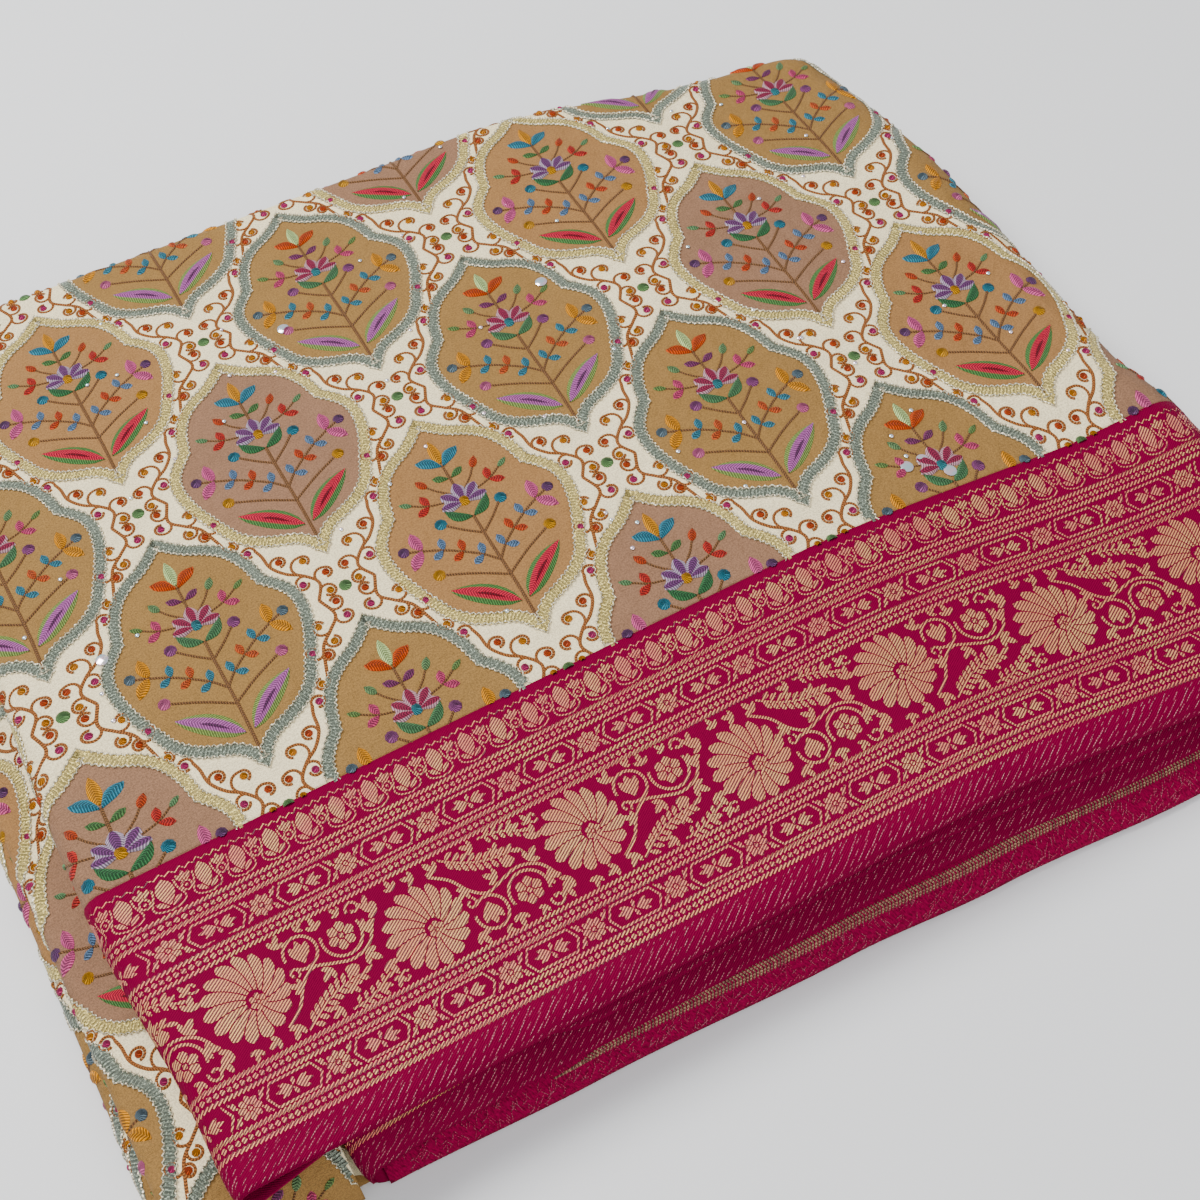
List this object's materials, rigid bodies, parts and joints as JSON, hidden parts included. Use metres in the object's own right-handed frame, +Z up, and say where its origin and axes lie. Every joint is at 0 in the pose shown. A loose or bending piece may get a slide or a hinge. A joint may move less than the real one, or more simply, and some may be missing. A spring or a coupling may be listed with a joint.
{
  "type": "folded embroidered saree",
  "caption": "Folded ivory saree with an embroidered pointed lattice of flower sprigs and a crimson and gold brocade border.",
  "frame": {"origin": "middle of the folded stack's footprint, on the surface that it lies on", "axes": "+X along the border, +Y from the border into the field, +Z up from the surface"},
  "size_m": [0.341, 0.3084, 0.0383],
  "materials": {
    "field": "ivory silk ground with dense coloured thread embroidery and metallic lattice bands",
    "border": "crimson silk brocade with gold metallic flowers, chains and rope lines",
    "hidden": "ivory silk ground, folded edges"
  },
  "bodies": {
    "root": {"top_field": "field", "top_border": "border", "middle_border": "border", "second_border": "border", "under_field": "field", "lower_field": "field", "hidden_layers": "hidden"}
  },
  "joints": []
}
